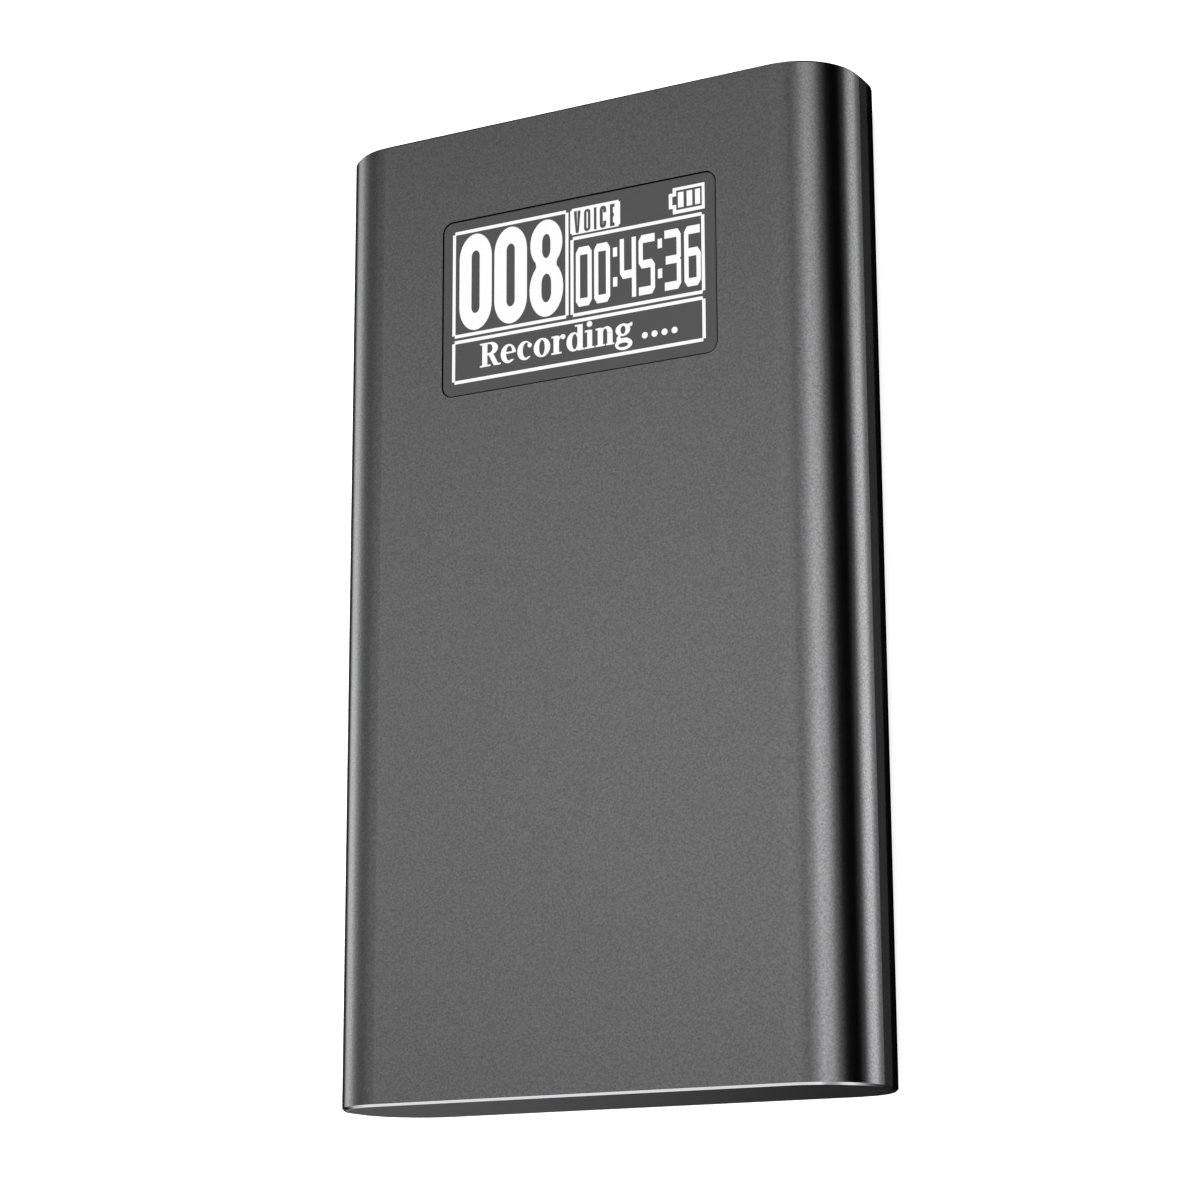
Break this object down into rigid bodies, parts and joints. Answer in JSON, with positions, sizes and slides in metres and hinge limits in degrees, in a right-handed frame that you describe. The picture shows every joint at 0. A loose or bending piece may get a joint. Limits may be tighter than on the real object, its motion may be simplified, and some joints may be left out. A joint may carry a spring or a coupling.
{
  "type": "handheld voice recorder",
  "caption": "Flat handheld voice recorder: a dark grey aluminium tube with a flush lit display, side keys and a record slide switch.",
  "frame": {"origin": "middle of the flat back face", "axes": "+Z through the display, out of the front; +Y along the body towards the end with the sockets; +X to the right when the display is read upright"},
  "size_m": [0.0453, 0.0781, 0.0118],
  "materials": {
    "anodised_aluminium": "bead-blasted and anodised dark grey",
    "anodised_key": "anodised dark grey, satin",
    "screw_steel": "black oxide, satin",
    "window_glass": "smoked, with lit white signs behind it",
    "panel_glass": "black display glass",
    "black_tape": "adhesive film",
    "black_foam": "foam tape",
    "chip_black": "moulded epoxy",
    "flex_amber": "polyimide film",
    "black_plastic": "fine moulded texture",
    "board_green": "solder mask",
    "plated_metal": "tin or nickel plated",
    "capacitor_tan": "fired ceramic",
    "gold_contacts": "gold flash",
    "black_rubber": "soft matte",
    "black_mesh": "woven acoustic mesh",
    "lamp_white": "clear moulding",
    "pouch_silver": "laminated foil",
    "amber_tape": "polyimide tape",
    "connector_white": "moulded nylon",
    "red_wire": "wire insulation",
    "black_wire": "wire insulation"
  },
  "bodies": {
    "root": {"audio_chip": "chip_black", "battery_cell": "pouch_silver", "battery_pad": "black_foam", "battery_plug": "connector_white", "battery_socket": "connector_white", "battery_tape": "amber_tape", "black_wire": "black_wire", "board_screws": "screw_steel", "bottom_plate": "anodised_aluminium", "capacitors": "capacitor_tan", "charger_chip": "chip_black", "chassis": "black_plastic", "crystal": "plated_metal", "display_driver": "chip_black", "display_foam": "black_foam", "display_holder": "black_plastic", "display_window": "window_glass", "earphone_jack": "black_plastic", "end_screws": "screw_steel", "inductor": "chip_black", "jack_terminals": "gold_contacts", "light_pipe": "lamp_white", "main_board": "board_green", "memory_chip": "chip_black", "mic_boot": "black_rubber", "mic_capsule": "plated_metal", "mic_leads": "plated_metal", "mic_mesh": "black_mesh", "oled_flex": "flex_amber", "oled_panel": "panel_glass", "processor": "chip_black", "protection_board": "board_green", "red_wire": "red_wire", "resistors": "chip_black", "shell": "anodised_aluminium", "slide_switch_body": "plated_metal", "status_led": "lamp_white", "switch_springs": "plated_metal", "tact_switches": "plated_metal", "top_plate": "anodised_aluminium", "usb_contacts": "gold_contacts", "usb_shell": "plated_metal", "usb_tongue": "black_plastic", "window_adhesive": "black_tape"},
    "play_key": {"play_button": "anodised_key", "play_stem": "black_plastic"},
    "previous_key": {"previous_button": "anodised_key", "previous_stem": "black_plastic"},
    "next_key": {"next_button": "anodised_key", "next_stem": "black_plastic"},
    "menu_key": {"menu_button": "anodised_key", "menu_stem": "black_plastic"},
    "record_slider": {"rec_knob": "anodised_key", "slide_switch_lever": "black_plastic"}
  },
  "joints": [
    {"name": "play_press", "type": "slide", "parent": "root", "child": "play_key", "axis": [1, 0, 0], "range_m": [0, 0.0002], "stiffness_N_per_m": 400},
    {"name": "previous_press", "type": "slide", "parent": "root", "child": "previous_key", "axis": [1, 0, 0], "range_m": [0, 0.0002], "stiffness_N_per_m": 400},
    {"name": "next_press", "type": "slide", "parent": "root", "child": "next_key", "axis": [1, 0, 0], "range_m": [0, 0.0002], "stiffness_N_per_m": 400},
    {"name": "menu_press", "type": "slide", "parent": "root", "child": "menu_key", "axis": [1, 0, 0], "range_m": [0, 0.0002], "stiffness_N_per_m": 400},
    {"name": "record_slide", "type": "slide", "parent": "root", "child": "record_slider", "axis": [1, 0, 0], "range_m": [0, 0.002]}
  ]
}
